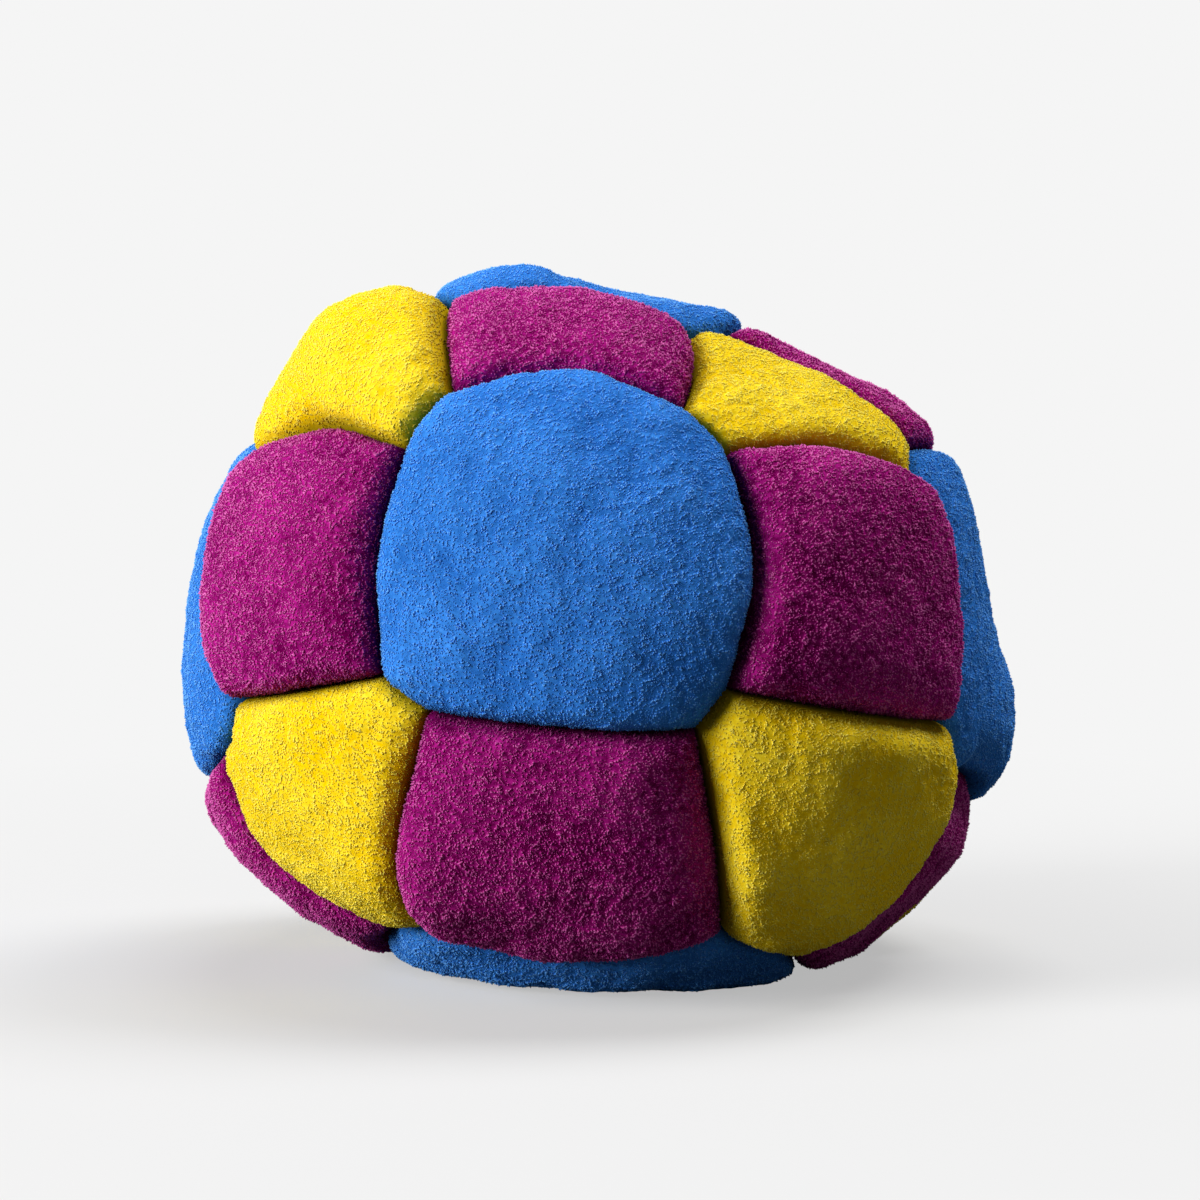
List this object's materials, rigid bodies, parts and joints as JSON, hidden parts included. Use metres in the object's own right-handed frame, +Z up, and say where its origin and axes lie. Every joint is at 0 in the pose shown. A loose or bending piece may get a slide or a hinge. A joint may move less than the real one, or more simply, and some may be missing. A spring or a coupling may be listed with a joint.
{
  "type": "footbag",
  "caption": "Palm-sized footbag for kicking: blue, magenta and yellow suede panels sewn edge to edge into a ball over a loose gravel fill, sagging at rest.",
  "frame": {"origin": "on the plane the bag rests on, under the middle of the ball, on the flat of the bottom panel", "axes": "+Z up from the resting plane, -Y towards the front blue panel, +X to the right as seen from the front"},
  "size_m": [0.0549, 0.0563, 0.0458],
  "materials": {
    "blue_suede": "napped synthetic suede, matte",
    "magenta_suede": "napped synthetic suede, matte",
    "yellow_suede": "napped synthetic suede, matte",
    "sewing_thread": "twisted polyester thread",
    "gravel": "broken tan, ochre and grey grains"
  },
  "bodies": {
    "root": {"gravel_fill": "gravel", "panel_back": "blue_suede", "panel_back_bottom": "magenta_suede", "panel_back_bottom_left": "yellow_suede", "panel_back_bottom_right": "yellow_suede", "panel_back_left": "magenta_suede", "panel_back_right": "magenta_suede", "panel_back_top": "magenta_suede", "panel_back_top_left": "yellow_suede", "panel_back_top_right": "yellow_suede", "panel_bottom": "blue_suede", "panel_bottom_left": "magenta_suede", "panel_bottom_right": "magenta_suede", "panel_front": "blue_suede", "panel_front_bottom": "magenta_suede", "panel_front_bottom_left": "yellow_suede", "panel_front_bottom_right": "yellow_suede", "panel_front_left": "magenta_suede", "panel_front_right": "magenta_suede", "panel_front_top": "magenta_suede", "panel_front_top_left": "yellow_suede", "panel_front_top_right": "yellow_suede", "panel_left": "blue_suede", "panel_right": "blue_suede", "panel_top": "blue_suede", "panel_top_left": "magenta_suede", "panel_top_right": "magenta_suede", "thread_back": "sewing_thread", "thread_back_bottom_at_left": "sewing_thread", "thread_back_bottom_at_right": "sewing_thread", "thread_back_left_at_bottom": "sewing_thread", "thread_back_left_at_top": "sewing_thread", "thread_back_right_at_bottom": "sewing_thread", "thread_back_right_at_top": "sewing_thread", "thread_back_top_at_left": "sewing_thread", "thread_back_top_at_right": "sewing_thread", "thread_bottom": "sewing_thread", "thread_bottom_left_at_back": "sewing_thread", "thread_bottom_left_at_front": "sewing_thread", "thread_bottom_right_at_back": "sewing_thread", "thread_bottom_right_at_front": "sewing_thread", "thread_front": "sewing_thread", "thread_front_bottom_at_left": "sewing_thread", "thread_front_bottom_at_right": "sewing_thread", "thread_front_left_at_bottom": "sewing_thread", "thread_front_left_at_top": "sewing_thread", "thread_front_right_at_bottom": "sewing_thread", "thread_front_right_at_top": "sewing_thread", "thread_front_top_at_left": "sewing_thread", "thread_front_top_at_right": "sewing_thread", "thread_left": "sewing_thread", "thread_right": "sewing_thread", "thread_top": "sewing_thread", "thread_top_left_at_back": "sewing_thread", "thread_top_left_at_front": "sewing_thread", "thread_top_right_at_back": "sewing_thread", "thread_top_right_at_front": "sewing_thread"}
  },
  "joints": []
}
